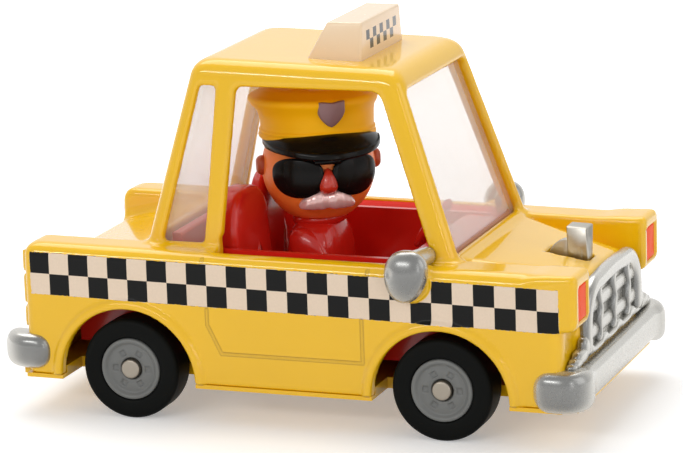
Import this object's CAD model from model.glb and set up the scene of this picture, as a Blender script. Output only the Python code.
"""Toy taxi: the finish, the soft-edged castings, the stage and the camera, set over the packed model.

Lengths in the shape functions are millimetres in the part's frame: X towards the hood, Z up, the floor
at zero. They become metres when a mesh is filled.
"""
import functools
import math

import bmesh
import bpy
import numpy as np
from mathutils import Matrix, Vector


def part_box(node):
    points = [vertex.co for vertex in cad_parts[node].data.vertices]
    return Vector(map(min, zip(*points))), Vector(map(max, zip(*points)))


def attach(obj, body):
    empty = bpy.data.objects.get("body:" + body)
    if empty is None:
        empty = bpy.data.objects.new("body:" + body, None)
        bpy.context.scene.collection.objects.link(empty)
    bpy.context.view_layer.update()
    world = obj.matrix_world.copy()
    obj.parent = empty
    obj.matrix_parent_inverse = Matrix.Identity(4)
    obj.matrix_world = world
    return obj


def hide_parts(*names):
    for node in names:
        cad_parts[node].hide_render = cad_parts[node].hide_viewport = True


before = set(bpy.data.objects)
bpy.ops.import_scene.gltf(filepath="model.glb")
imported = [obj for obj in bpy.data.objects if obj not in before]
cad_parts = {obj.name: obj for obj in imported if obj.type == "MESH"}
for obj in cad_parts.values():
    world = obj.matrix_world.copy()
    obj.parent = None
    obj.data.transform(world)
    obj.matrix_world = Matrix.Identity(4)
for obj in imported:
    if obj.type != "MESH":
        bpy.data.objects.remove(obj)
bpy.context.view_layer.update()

bl_info = {
    "name": "Toy Taxi",
    "version": (1, 0, 0),
    "blender": (4, 5, 0),
    "location": "3D View > Sidebar > Toy Taxi",
    "description": "Dresses the packed toy taxi with its castings, lenses, wheels and driver",
    "category": "Add Mesh",
}

MM = 0.001
WHITE = (1.0, 1.0, 1.0, 1.0)


def node_box(name):
    """Lowest and highest corner of a node of the frame, in millimetres."""
    low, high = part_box(name)
    return np.array(low) / MM, np.array(high) / MM


def tone(code):
    """Linear colour of a six-digit colour code, with full alpha."""
    values = [int(code[start:start + 2], 16) / 255 for start in (0, 2, 4)]
    linear = [v / 12.92 if v <= 0.04045 else ((v + 0.055) / 1.055) ** 2.4 for v in values]
    return (*linear, 1.0)


# shapes

def smooth_join(a, b, width):
    """Smooth lesser of two fields: the lesser value, less a parabola where they differ by under width."""
    gap = np.maximum(width - np.abs(a - b), 0.0) / width
    return np.minimum(a, b) - gap * gap * width / 4


def smooth_meet(a, b, width):
    """Smooth greater of two fields, which rounds the edge in which their solids meet."""
    return -smooth_join(-a, -b, width)


def smooth_cut(solid, cutter, width):
    """Field of a solid less a cutter, with the rim softened over width."""
    return smooth_meet(solid, -cutter, width)


def within(*sides):
    """Field of what lies inside every side: the greatest of their distances, with sharp edges."""
    return functools.reduce(np.maximum, sides)


def slope_distance(across, up, foot, head):
    """Signed distance from the line through two points (across, up), positive to the right of its run."""
    run, rise = head[0] - foot[0], head[1] - foot[1]
    return ((across - foot[0]) * rise - (up - foot[1]) * run) / math.hypot(run, rise)


def convex_distance(u, v, corners, width):
    """Field of a convex outline given anticlockwise: smooth greatest of its sides' signed distances."""
    sides = [slope_distance(u, v, *ends) for ends in zip(corners, corners[1:] + corners[:1])]
    return functools.reduce(lambda field, side: smooth_meet(field, side, width), sides)


def fill_mesh(name, points, quads):
    """Smooth mesh of points in millimetres with rows of four corner numbers."""
    quads = np.asarray(quads, dtype=np.int32).reshape(-1, 4)
    mesh = bpy.data.meshes.new(name)
    mesh.vertices.add(len(points))
    mesh.vertices.foreach_set("co", (np.asarray(points) * MM).astype(np.float32).ravel())
    mesh.loops.add(quads.size)
    mesh.loops.foreach_set("vertex_index", quads.ravel())
    mesh.polygons.add(len(quads))
    mesh.polygons.foreach_set("loop_start", np.arange(0, quads.size, 4, dtype=np.int32))
    mesh.update(calc_edges=True)
    mesh.validate()
    mesh.polygons.foreach_set("use_smooth", np.ones(len(mesh.polygons), dtype=bool))
    return mesh


def grid_quads(rows, columns, closed_rows=False, closed_columns=True):
    """Corner numbers of the quads between neighbouring rows and columns of a grid, by default a tube."""
    row = np.arange(rows if closed_rows else rows - 1)
    column = np.arange(columns if closed_columns else columns - 1)
    row, column = np.meshgrid(row, column, indexing="ij")
    next_row, next_column = (row + 1) % rows, (column + 1) % columns
    corners = [row * columns + column, row * columns + next_column,
               next_row * columns + next_column, next_row * columns + column]
    return np.stack(corners, axis=-1).reshape(-1, 4)


def close_up(mesh, merge):
    """Merges doubled points of seams and poles, fills open rims and turns the faces outwards."""
    work = bmesh.new()
    work.from_mesh(mesh)
    bmesh.ops.remove_doubles(work, verts=work.verts, dist=merge * MM)
    bmesh.ops.dissolve_degenerate(work, edges=work.edges, dist=merge * MM / 4)
    rims = [edge for edge in work.edges if edge.is_boundary]
    if rims:
        bmesh.ops.holes_fill(work, edges=rims, sides=0)
    bmesh.ops.recalc_face_normals(work, faces=work.faces)
    for face in work.faces:
        face.smooth = True
    work.to_mesh(mesh)
    work.free()
    mesh.update()
    return mesh


def joined_mesh(name, parts, merge):
    """One mesh of several closed point-and-quad parts."""
    points, quads, first = [], [], 0
    for part_points, part_quads in parts:
        points.append(part_points)
        quads.append(part_quads + first)
        first += len(part_points)
    return close_up(fill_mesh(name, np.concatenate(points), np.concatenate(quads)), merge)


def rounded(count, radius, centre, start, end):
    """Points of an arc as (across, along) rows, from one angle to another in degrees."""
    angle = np.radians(np.linspace(start, end, count))
    return np.stack([centre[0] + radius * np.cos(angle), centre[1] + radius * np.sin(angle)], axis=-1)


def oval_section(half_out, half_up, power, count=28):
    """Superellipse: signed powers of cosine and sine, scaled by two half sizes."""
    angle = np.linspace(0, 2 * math.pi, count, endpoint=False)
    out, up = np.cos(angle), np.sin(angle)
    return np.stack([half_out * np.sign(out) * np.abs(out) ** power,
                     half_up * np.sign(up) * np.abs(up) ** power], axis=-1)


def turned_points(profile, centre, segments, across=False, ripple=None):
    """Points and quads of (radius, along) rows turned round an upright axis, or round one across the car.

    Point = centre + (radius cos a, radius sin a, along), with the last two parts swapped for an axis
    across. ripple(radius, along, a) may add to along.
    """
    profile = np.asarray(profile, dtype=float)
    angle = np.linspace(0, 2 * math.pi, segments, endpoint=False)
    radius, along = profile[:, :1], profile[:, 1:] + 0 * angle
    if ripple is not None:
        along = along + ripple(radius, along, angle)
    one, two = radius * np.cos(angle), radius * np.sin(angle)
    points = np.stack([one, along, two] if across else [one, two, along], axis=-1) + centre
    return points.reshape(-1, 3), grid_quads(len(profile), segments)


def pillow_points(half, power, u_count=28, v_count=48):
    """Superellipsoid: the signed powers of a sphere's sines and cosines, scaled by three half sizes.

    Point = half * (c(v) c(u), c(v) s(u), s(v)), where c and s keep their sign and are raised to power.
    """
    v = np.linspace(-math.pi / 2, math.pi / 2, u_count)
    u = np.linspace(0, 2 * math.pi, v_count, endpoint=False)
    v, u = np.meshgrid(v, u, indexing="ij")

    def raised(value):
        return np.sign(value) * np.abs(value) ** power

    points = np.stack([raised(np.cos(v)) * raised(np.cos(u)), raised(np.cos(v)) * raised(np.sin(u)),
                       raised(np.sin(v))], axis=-1)
    return points.reshape(-1, 3) * np.asarray(half), grid_quads(u_count, v_count)


def block_points(low, high, radius, steps=5):
    """Block with round edges: a sphere's eighths moved out to the corners of the block less its radius.

    Point = middle + sign * (half - radius) + radius * direction, one eighth of the directions a corner.
    """
    low, high = np.minimum(low, high).astype(float), np.maximum(low, high).astype(float)
    middle, half = (low + high) / 2, (high - low) / 2
    quarter = np.linspace(0, math.pi / 2, steps + 1)
    turn = np.concatenate([quarter + math.pi / 2 * part for part in range(4)])
    lift = np.concatenate([quarter - math.pi / 2, quarter])[:, None]
    directions = np.stack(np.broadcast_arrays(
        np.cos(lift) * np.cos(turn), np.cos(lift) * np.sin(turn), np.sin(lift)), axis=-1)
    ahead, across = np.repeat([[1.0, -1.0, -1.0, 1.0], [1.0, 1.0, -1.0, -1.0]], steps + 1, axis=1)
    up = np.repeat([-1.0, 1.0], steps + 1)[:, None]
    signs = np.stack(np.broadcast_arrays(ahead, across, up), axis=-1)
    points = middle + signs * (half - radius) + radius * directions
    return points.reshape(-1, 3), grid_quads(len(lift), len(turn))


def carried_points(path, section, scale=None, axis=(0.0, 0.0, 1.0)):
    """Section carried along a path in a plane square to an axis.

    Point = path + out * normal + up * axis, where (out, up) are the section's rows, scaled by two shares
    at each path point, and the normal lies in the plane.
    """
    path, axis = np.asarray(path, dtype=float), np.asarray(axis, dtype=float)
    direction = np.gradient(path, axis=0)
    direction /= np.linalg.norm(direction, axis=1, keepdims=True)
    out = np.cross(direction, axis)
    scale = np.ones((len(path), 2)) if scale is None else scale
    rows = section * scale[:, None, :]
    points = path[:, None, :] + rows[:, :, :1] * out[:, None, :] + rows[:, :, 1:] * axis
    return points.reshape(-1, 3), grid_quads(len(path), len(section))


def dome_path(start, end, round_over, middle, cap):
    """Points on a line between two places, packed closer towards both ends, and their section's scale.

    Scale = sqrt(1 - drop^2), where drop rises from 0 at round_over from an end to 1 at the end.
    """
    start, end = np.asarray(start, float), np.asarray(end, float)
    length = np.linalg.norm(end - start)
    near = round_over * (1 - np.cos(np.linspace(0, math.pi / 2, cap)))
    place = np.concatenate([near, np.linspace(round_over, length - round_over, middle)[1:-1],
                            (length - near)[::-1]])
    drop = np.clip(1 - np.minimum(place, length - place) / round_over, 0, 1)
    scale = np.sqrt(np.maximum(1 - drop ** 2, 0.0))
    return start + (end - start) * (place / length)[:, None], np.stack([scale, scale], axis=-1)


def plate_points(outline, thickness, radius, crown=0.0, rings=5, arc=4):
    """Plate with round edges and crowned faces, as (across, up, depth) points.

    Rows are the outline shrunk towards its middle: on each face by steps to a point, with depth rising by
    crown (1 - share^2), and round the edge by radius (1 - sin a) inward and radius (1 - cos a) in depth.
    """
    outline = np.asarray(outline, dtype=float)
    direction = np.roll(outline, -1, axis=0) - np.roll(outline, 1, axis=0)
    direction /= np.maximum(np.linalg.norm(direction, axis=1, keepdims=True), 1e-9)
    inward = np.stack([-direction[:, 1], direction[:, 0]], axis=-1)
    middle, rim = outline.mean(axis=0), outline + inward * radius
    face = []
    for share in np.linspace(0, 1, rings, endpoint=False):
        face.append((middle + (rim - middle) * share, thickness / 2 + crown * (1 - share ** 2)))
    for angle in np.linspace(0, math.pi / 2, arc):
        ring = outline + inward * radius * (1 - math.sin(angle))
        face.append((ring, thickness / 2 - radius * (1 - math.cos(angle))))
    rows = [(ring, -depth) for ring, depth in face] + face[::-1]
    loops = [np.concatenate([ring, np.full((len(ring), 1), depth)], axis=1) for ring, depth in rows]
    return np.concatenate(loops), grid_quads(len(loops), len(outline))


# the surface of a field

SLIDES = 3          # rounds of sliding the points onto the surface
SLIDE_REACH = 0.7   # farthest slide, in cells
SLOPE_STEP = 0.08   # step of the slope's differences, in cells
LEAST_SLOPE = 0.05  # least squared slope that a slide divides by


def cell_corners(values, place):
    """Values at one corner of every cell of a grid, the corner given by three steps of 0 or 1."""
    return values[tuple(slice(step, size - 1 + step) for step, size in zip(place, values.shape))]


def cell_points(values):
    """The cells that the zero surface runs through, and in each the mean of the crossings on its edges."""
    cells = np.array(values.shape) - 1
    total, crossings = np.zeros((*cells, 3)), np.zeros(cells)
    for axis in range(3):
        for a, b in ((0, 0), (0, 1), (1, 0), (1, 1)):
            start, end = [a, b], [a, b]
            start.insert(axis, 0)
            end.insert(axis, 1)
            first, last = cell_corners(values, start), cell_corners(values, end)
            crossed = (first < 0) != (last < 0)
            share = np.where(crossed, first / np.where(crossed, first - last, 1.0), 0.0)
            for other in range(3):
                place = share if other == axis else float(start[other])
                total[..., other] += np.where(crossed, place, 0.0)
            crossings += crossed
    used = crossings > 0
    return used, total[used] / crossings[used][:, None]


def crossing_quads(inside, number):
    """Numbers of the four cells round each grid edge that enters or leaves the solid, facing outwards."""
    quads = []
    for axis in range(3):
        change = np.diff(inside.astype(np.int8), axis=axis)
        places = np.argwhere(change != 0)
        others = [other for other in range(3) if other != axis]
        places = places[((places[:, others] > 0)
                         & (places[:, others] < np.array(inside.shape)[others] - 1)).all(axis=1)]
        one, two = np.eye(3, dtype=int)[others]
        ring = np.stack([number[tuple((places + a * one + b * two).T)]
                         for a, b in ((-1, -1), (0, -1), (0, 0), (-1, 0))], axis=-1)
        flip = (change[tuple(places.T)] > 0) != (axis == 1)
        ring[flip] = ring[flip][:, ::-1]
        quads.append(ring)
    return np.concatenate(quads)


def field_slope(field, points, step):
    """Slope of a field at each point, by differences over a step to both sides."""
    rows = [(field(*(points + shift).T) - field(*(points - shift).T)) / (2 * step)
            for shift in np.eye(3) * step]
    return np.stack(rows, axis=-1)


def field_mesh(name, field, low, high, cell):
    """Mesh of the zero surface of a field, which is negative inside the solid, with soft normals.

    Each cell of the grid with both signs at its corners holds one point, the mean of the zero crossings
    on its edges, and each grid edge that changes sign is crossed by the quad of its four cells. The points
    then slide onto the surface along the field's slope, and the slope gives the normals.
    """
    axes = [np.arange(start, end + cell, cell) for start, end in zip(low, high)]
    values = field(*np.meshgrid(*axes, indexing="ij", sparse=True))
    used, places = cell_points(values)
    number = np.full(used.shape, -1)
    number[used] = np.arange(len(places))
    quads = crossing_quads(values < 0, number)
    start = np.array(low) + (np.argwhere(used) + places) * cell
    points = start
    for _ in range(SLIDES):
        slope = field_slope(field, points, SLOPE_STEP * cell)
        size = np.maximum((slope ** 2).sum(axis=1, keepdims=True), LEAST_SLOPE)
        points = points - field(*points.T)[:, None] * slope / size
        points = start + np.clip(points - start, -SLIDE_REACH * cell, SLIDE_REACH * cell)
    normals = field_slope(field, points, SLOPE_STEP * cell)
    normals /= np.maximum(np.linalg.norm(normals, axis=1, keepdims=True), 1e-6)
    mesh = fill_mesh(name, points, quads)
    mesh.normals_split_custom_set_from_vertices(normals.astype(np.float32).tolist())
    return mesh


# the cast body

REAR_WHEEL, FRONT_WHEEL, WHEEL_RADIUS = -24.2, 22.8, 7.33
ARCHES = ((REAR_WHEEL, 10.35), (FRONT_WHEEL, 10.05))
BODY_HALF, BODY_REAR, BODY_FRONT, BODY_BOTTOM = 21.3, -40.2, 40.4, 6.0
SHOULDER_REAR, SHOULDER_FALL = 25.3, 0.8
HOOD_REAR, HOOD_FRONT, HOOD_HALF = 24.0, 40.65, 14.3
LAMP_REAR, LAMP_FRONT, LAMP_LIP = 34.2, 42.7, 41.3
SILL, LINTEL = 25.2, 47.9
MIRROR_BOSS = (19.0, 22.9)

# a wall of the cabin, as its (reach, height) at the foot and at the head
CABIN_FRONT = ((24.84, 23.0), (14.72, 53.0))
CABIN_REAR = ((-23.3, 23.0), (-15.1, 53.0))
CABIN_SIDE = ((17.15, 23.0), (14.25, 53.0))


def shoulder_line(x):
    """Height of the shoulder: a straight fall from the tail to the front."""
    return SHOULDER_REAR - SHOULDER_FALL * (x - BODY_REAR) / (BODY_FRONT - BODY_REAR)


def roof_line(x):
    """Height of the roof: a straight fall from 51.6 at its rear edge to 50.9 at its front edge."""
    rear, front = CABIN_REAR[1][0], CABIN_FRONT[1][0]
    return 51.6 - 0.7 * (x - rear) / (front - rear)


def wall_reach(wall, z):
    """Reach of a leaning wall of the cabin at a height."""
    (foot, low), (head, high) = wall
    return foot + (head - foot) * (z - low) / (high - low)


def cabin_field(x, side, z, inset, drop, width):
    """Smooth greatest of the distances from the leaning walls and the roof, moved in by inset and drop."""
    ends = smooth_meet(slope_distance(x, z, *CABIN_FRONT), -slope_distance(x, z, *CABIN_REAR), width)
    walls = smooth_meet(ends, slope_distance(side, z, *CABIN_SIDE), width)
    return smooth_meet(walls + inset, z - roof_line(x) + drop, width)


def block_field(x, side, z, edge):
    """Block with round shoulders, a trunk lid low between the tail fins, and a valley for the hood."""
    ends = smooth_meet(x - BODY_FRONT, BODY_REAR - x, edge)
    block = smooth_meet(smooth_meet(side - BODY_HALF, ends, 1.9), z - shoulder_line(x), 2.2)
    block = smooth_meet(block, BODY_BOTTOM - z, 0.5)
    lid_start, lid_length, lid_half = -22.0, 18.2, 14.6
    lid = 24.9 - 4.5 * np.clip((lid_start - x) / lid_length, 0.0, 1.4)
    trunk = smooth_meet(lid - z, side - lid_half, 2.0)
    block = smooth_cut(block, within(trunk, x + 20.0), 1.2)
    return smooth_cut(block, within(15.6 - z, HOOD_REAR - x, side - 14.4), 0.8)


def join_hood(block, x, side, z):
    """Adds the hood, which narrows, falls and rounds off from the screen to its nose."""
    run = np.clip((x - HOOD_REAR) / (HOOD_FRONT - HOOD_REAR), 0.0, 1.0)
    half, top = HOOD_HALF - 1.1 * run, 24.66 - 2.66 * run
    crown = 0.5 * run * (side / 14.0) ** 2
    hood = smooth_meet(side - half, z - top + crown, 1.4 + 6.2 * run)
    hood = smooth_meet(hood, x - HOOD_FRONT, 0.8)
    hood = smooth_meet(hood, within(11.3 - z, 22.0 - x), 0.4)
    return smooth_join(block, hood, 0.4 + 2.2 * run)


def join_lamp_boxes(block, x, side, z):
    """Adds the boxes of the head lenses, which stand past the block and rake back under the lens."""
    rise = slope_distance(x, z, (LAMP_REAR, 18.1), (LAMP_LIP, 16.7))
    chin = slope_distance(x, z, (LAMP_LIP, 16.7), (LAMP_FRONT, 17.4))
    box = smooth_meet(smooth_meet(rise, chin, 0.6), x - LAMP_FRONT, 0.9)
    lift = 0.35 * np.clip((x - LAMP_REAR) / (LAMP_FRONT - LAMP_REAR), 0, 1)
    box = smooth_meet(box, z - shoulder_line(x) - lift, 1.1)
    box = smooth_meet(box, within(side - BODY_HALF, HOOD_HALF - side), 1.0)
    fade = 0.9 * np.clip((38.2 - x) / 4.0, 0, 1) ** 2
    return smooth_join(block, within(box + fade, LAMP_REAR - x), 0.5)


def join_lips(solid, x, side, z):
    """Adds the mirror's boss, the lips of the arches and the three lobes down each outer tail edge."""
    boss_radius, boss_face, lip_radius, lip_middle = 2.85, 21.7, 0.9, 20.95
    boss = np.hypot(x - MIRROR_BOSS[0], z - MIRROR_BOSS[1]) - boss_radius
    solid = smooth_join(solid, within(boss, side - boss_face, 19.0 - side), 0.4)
    for wheel, radius in ARCHES:
        ring = np.hypot(x - wheel, z - BODY_BOTTOM) - radius - 0.62
        lip = np.hypot(ring, side - lip_middle) - lip_radius
        solid = smooth_join(solid, within(lip, BODY_BOTTOM - z), 0.3)
    for middle, half in ((14.1, 1.6), (18.2, 2.25), (22.4, 1.7)):
        lobe = smooth_meet(np.abs(side - 19.6) - 0.4, np.abs(z - middle) - half, 0.5)
        lobe = smooth_meet(within(lobe, x + 38.7), -40.68 - x, 0.4)
        solid = smooth_join(solid, lobe, 0.12)
    return solid


def cut_inside(solid, x, side, z):
    """Hollows out the body under a ceiling that falls to both ends, then the cabin and the tub's well."""
    rear, front, half = -38.7, 38.9, 19.8
    ceiling = np.minimum(np.minimum(21.0, 18.4 + (x - rear) * 0.156), 14.1 + (front - x) * 0.463)
    solid = within(solid, -within(side - half, x - front, rear - x, z - ceiling))
    solid = smooth_cut(solid, within(cabin_field(x, side, z, 1.6, 2.2, 0.8), 19.0 - z), 0.4)
    return smooth_cut(solid, within(side - 18.6, np.abs(z - 24.0) - 2.4, -11.0 - x, x - 20.3), 0.5)


def cut_openings(solid, x, side, z, edge):
    """Cuts the windows and screens, the arches, and the seats of the lenses and the ornament."""
    quarter = convex_distance(x, z, [(-20.0, 25.5), (-13.6, 25.5), (-11.8, LINTEL), (-14.3, LINTEL)], 0.8)
    door = convex_distance(x, z, [(-10.9, SILL), (20.5, SILL), (12.7, LINTEL), (-8.8, LINTEL)], 1.4)
    screen, back = (
        convex_distance(side, z, [(-30.0, low), (foot, low), (head, LINTEL), (-30.0, LINTEL)], 1.2)
        for low, foot, head in ((25.1, 14.7, 12.8), (26.4, 14.3, 12.6)))
    for opening in (quarter, door, within(screen, 9.0 - x), within(back, x + 9.0)):
        solid = smooth_cut(solid, opening, edge)
    for wheel, radius in ARCHES:
        solid = smooth_cut(solid, np.hypot(x - wheel, z - BODY_BOTTOM) - radius, 0.3)
    for across, half, height, tall, depth, width in (
            (17.7, 2.3, 20.475, 2.475, 41.2 - x, 0.5), (17.4, 1.75, 21.25, 2.25, x + 39.2, 0.3)):
        seat = within(np.abs(side - across) - half, np.abs(z - height) - tall, depth)
        solid = smooth_cut(solid, seat, width)
    slot = within(side - 1.75, np.abs(x - 35.55) - 3.15, 21.2 - z)
    return smooth_cut(solid, slot, 0.35)


def body_field(x, y, z, edge, cabin_edge):
    """The cast body as one field: blocks and lips joined, then cut, with soft edges of the set widths."""
    side = np.abs(y)
    solid = block_field(x, side, z, edge)
    solid = join_hood(solid, x, side, z)
    solid = join_lamp_boxes(solid, x, side, z)
    cabin = within(cabin_field(x, side, z, 0.0, 0.0, cabin_edge), 20.0 - z)
    solid = smooth_join(solid, cabin, 0.9)
    solid = join_lips(solid, x, side, z)
    solid = cut_inside(solid, x, side, z)
    return cut_openings(solid, x, side, z, edge)


# finishes

class Shading:
    """Short calls that place and join the nodes of one material or node group."""

    def __init__(self, tree):
        self.tree = tree

    def add(self, kind, inputs=None, **settings):
        made = self.tree.nodes.new(kind)
        for key, value in settings.items():
            setattr(made, key, value)
        for key, value in (inputs or {}).items():
            self.feed(made.inputs[key], value)
        return made

    def feed(self, socket, value):
        if isinstance(value, bpy.types.NodeSocket):
            self.tree.links.new(value, socket)
        else:
            socket.default_value = value

    def math(self, operation, *values, clamp=False):
        made = self.add("ShaderNodeMath", dict(enumerate(values)), operation=operation, use_clamp=clamp)
        return made.outputs[0]

    def mix(self, share, first, second):
        made = self.add("ShaderNodeMix", {0: share, 6: first, 7: second}, data_type="RGBA")
        return made.outputs[2]

    def place(self):
        """Object coordinates and their three parts in millimetres."""
        vector = self.add("ShaderNodeTexCoord").outputs["Object"]
        scaled = self.add("ShaderNodeVectorMath", {0: vector, 3: 1 / MM}, operation="SCALE").outputs[0]
        parts = self.add("ShaderNodeSeparateXYZ", {0: scaled}).outputs
        return scaled, parts[0], parts[1], parts[2]

    def noise(self, vector, scale, detail=2.0, roughness=0.5):
        made = self.add("ShaderNodeTexNoise", {"Vector": vector, "Scale": scale, "Detail": detail,
                                               "Roughness": roughness})
        return made.outputs["Fac"]

    def dim(self, colour, value):
        """Colour with its brightness multiplied by a value."""
        return self.add("ShaderNodeHueSaturation", {"Color": colour, "Value": value}).outputs[0]

    def step(self, value, start, end):
        """0 below start and 1 above end, with a smooth rise between."""
        made = self.add("ShaderNodeMapRange", {"Value": value, "From Min": start, "From Max": end},
                        interpolation_type="SMOOTHSTEP")
        return made.outputs[0]

    def limit(self, mask, value, low, high, blur):
        """Mask times 1 where a value is between two others, and times 0 past them."""
        mask = self.math("MULTIPLY", mask, self.step(value, low - blur, low + blur))
        return self.math("MULTIPLY", mask, self.step(value, high + blur, high - blur))

    def square_sum(self, a, b):
        """The squares of two values, added up."""
        return self.math("ADD", self.math("POWER", a, 2.0), self.math("POWER", b, 2.0))

    def odd_square(self, across, up):
        """1 on every other square of a board of unit squares."""
        count = self.math("ADD", self.math("FLOOR", across), self.math("FLOOR", up))
        return self.math("GREATER_THAN", self.math("MODULO", count, 2.0), 0.5)


def node_group(name, inputs, outputs):
    """New shader node group with named sockets: its Shading, its given values and what it puts out."""
    tree = bpy.data.node_groups.new(name, "ShaderNodeTree")
    kinds = {"value": "NodeSocketFloat", "colour": "NodeSocketColor"}
    for label, kind, default in inputs:
        socket = tree.interface.new_socket(name=label, in_out="INPUT", socket_type=kinds[kind])
        if default is not None:
            socket.default_value = default
    for label, kind in outputs:
        tree.interface.new_socket(name=label, in_out="OUTPUT", socket_type=kinds[kind])
    shading = Shading(tree)
    return shading, shading.add("NodeGroupInput").outputs, shading.add("NodeGroupOutput").inputs


def build_cast_tone():
    """Group: slow drift of a colour and its roughness, with fine dust specks, as on a sprayed casting."""
    shade, given, put = node_group("Cast Tone", [
        ("Colour", "colour", None), ("Drift", "value", 0.04), ("Roughness", "value", 0.3),
        ("Specks", "value", 0.0)], [("Colour", "colour"), ("Roughness", "value"), ("Height", "value")])
    vector = shade.place()[0]
    slow = shade.noise(vector, scale=0.07, detail=3.0)
    fine = shade.noise(vector, scale=1.6, detail=3.0, roughness=0.6)
    speck = shade.step(shade.noise(vector, scale=2.4, detail=1.0), 0.72, 0.78)
    amount = shade.math("MULTIPLY", shade.math("SUBTRACT", slow, 0.5), given["Drift"])
    bright = shade.dim(given["Colour"], shade.math("MULTIPLY_ADD", amount, 2.0, 1.0))
    specks = shade.math("MULTIPLY", speck, given["Specks"])
    shade.feed(put["Colour"], shade.mix(specks, bright, shade.dim(bright, 0.7)))
    rough = shade.math("MULTIPLY_ADD", shade.math("SUBTRACT", fine, 0.5), 0.12, given["Roughness"])
    rough = shade.math("ADD", rough, shade.math("MULTIPLY", amount, 0.5), clamp=True)
    shade.feed(put["Roughness"], rough)
    shade.feed(put["Height"], shade.math("MULTIPLY_ADD", slow, 0.6, shade.math("MULTIPLY", fine, 0.03)))


def build_line_mask():
    """Group: 1 within a quarter of a line's width of a straight line between two points of the X-Z plane.

    It falls to 0 at three quarters of the width.
    """
    shade, given, put = node_group("Scribed Line", [
        ("X", "value", 0.0), ("Z", "value", 0.0), ("Start X", "value", 0.0), ("Start Z", "value", 0.0),
        ("Run X", "value", 1.0), ("Run Z", "value", 0.0), ("Width", "value", 0.35)], [("Mask", "value")])
    gap, run, along = {}, {}, {}
    for axis in ("X", "Z"):
        gap[axis] = shade.math("SUBTRACT", given[axis], given[f"Start {axis}"])
        run[axis] = given[f"Run {axis}"]
        along[axis] = shade.math("MULTIPLY", gap[axis], run[axis])
    share = shade.math("DIVIDE", shade.math("ADD", along["X"], along["Z"]),
                       shade.square_sum(run["X"], run["Z"]), clamp=True)
    away = [shade.math("SUBTRACT", gap[axis], shade.math("MULTIPLY", share, run[axis]))
            for axis in ("X", "Z")]
    ramp = shade.add("ShaderNodeMapRange", {
        "Value": shade.math("SQRT", shade.square_sum(*away)),
        "From Min": shade.math("MULTIPLY", given["Width"], 0.25),
        "From Max": shade.math("MULTIPLY", given["Width"], 0.75),
        "To Min": 1.0, "To Max": 0.0}, interpolation_type="SMOOTHSTEP")
    shade.feed(put["Mask"], ramp.outputs[0])


# checker band: its rear end, its foot's height there and fall a millimetre, and a row's height and squares
BAND_REAR, BAND_FLOOR, BAND_FALL, BAND_ROW, BAND_SQUARES = -38.9, 17.89, 0.01481, 3.08, 26.0


def build_checker_band():
    """Group: the two-row checker band on the car's sides, and how dark its squares are."""
    shade, given, put = node_group("Checker Band", [
        ("Square", "value", 3.04)], [("Band", "value"), ("Dark", "value")])
    vector, x, y, z = shade.place()
    wear = shade.noise(vector, scale=2.2, detail=3.0)
    fray = shade.math("MULTIPLY", shade.math("SUBTRACT", wear, 0.5), 0.12)
    run = shade.math("SUBTRACT", x, BAND_REAR)
    along = shade.math("DIVIDE", run, given["Square"])
    floor = shade.math("SUBTRACT", BAND_FLOOR, shade.math("MULTIPLY", run, BAND_FALL))
    up = shade.math("DIVIDE", shade.math("SUBTRACT", z, floor), BAND_ROW)
    band = shade.step(shade.math("ABSOLUTE", y), 20.55, 20.65)
    for value, squares in ((along, BAND_SQUARES), (up, 2.0)):
        band = shade.limit(band, shade.math("ADD", value, fray), 0.0, squares, 0.01)
    ring = shade.math("SQRT", shade.square_sum(shade.math("SUBTRACT", x, MIRROR_BOSS[0]),
                                               shade.math("SUBTRACT", z, MIRROR_BOSS[1])))
    shade.feed(put["Band"], shade.math("MULTIPLY", band, shade.step(ring, 2.95, 3.1)))
    shade.feed(put["Dark"], shade.odd_square(along, up))


FINISH = "_finish"


def group(shade, name, inputs):
    """Output sockets of a named node group placed in a material."""
    made = shade.add("ShaderNodeGroup", node_tree=bpy.data.node_groups[name])
    for key, value in inputs.items():
        shade.feed(made.inputs[key], value)
    return made.outputs


def new_material(name, **fixed):
    """Material's Shading and its one Principled shader, whose unchanging values are set on its sockets."""
    material = bpy.data.materials.new(name + FINISH)
    material.use_nodes = True
    shade = Shading(material.node_tree)
    shader = material.node_tree.nodes["Principled BSDF"]
    for key, value in fixed.items():
        shader.inputs[key.replace("_", " ")].default_value = value
    return shade, shader


def feed_shader(shade, shader, colour, roughness, height, distance):
    """Feeds a shader its colour, its roughness, and as a bump a height times a distance in millimetres."""
    shade.feed(shader.inputs["Base Color"], colour)
    shade.feed(shader.inputs["Roughness"], roughness)
    bump = shade.add("ShaderNodeBump", {"Height": height, "Distance": distance * MM, "Strength": 1.0})
    shade.feed(shader.inputs["Normal"], bump.outputs["Normal"])


def cast_material(name, colour, drift, roughness, specks=0.0, grain=0.05, **fixed):
    """Painted, moulded or plated finish with a slow drift, fine grain and specks."""
    shade, shader = new_material(name, **fixed)
    out = group(shade, "Cast Tone", {"Colour": colour, "Drift": drift, "Roughness": roughness,
                                     "Specks": specks})
    feed_shader(shade, shader, out["Colour"], out["Roughness"], out["Height"], grain)


# scribed lines of the door and its pillars, each from one (x, z) place to another
DOOR_LINES = (
    ((-11.65, 17.1), (-11.65, 14.9)), ((-11.65, 14.9), (-9.6, 10.75)), ((-9.6, 10.75), (11.6, 10.75)),
    ((11.6, 10.75), (11.6, 17.0)), ((-12.2, 24.1), (-12.2, 26.0)), ((12.6, 23.5), (12.6, 26.0)))


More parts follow.
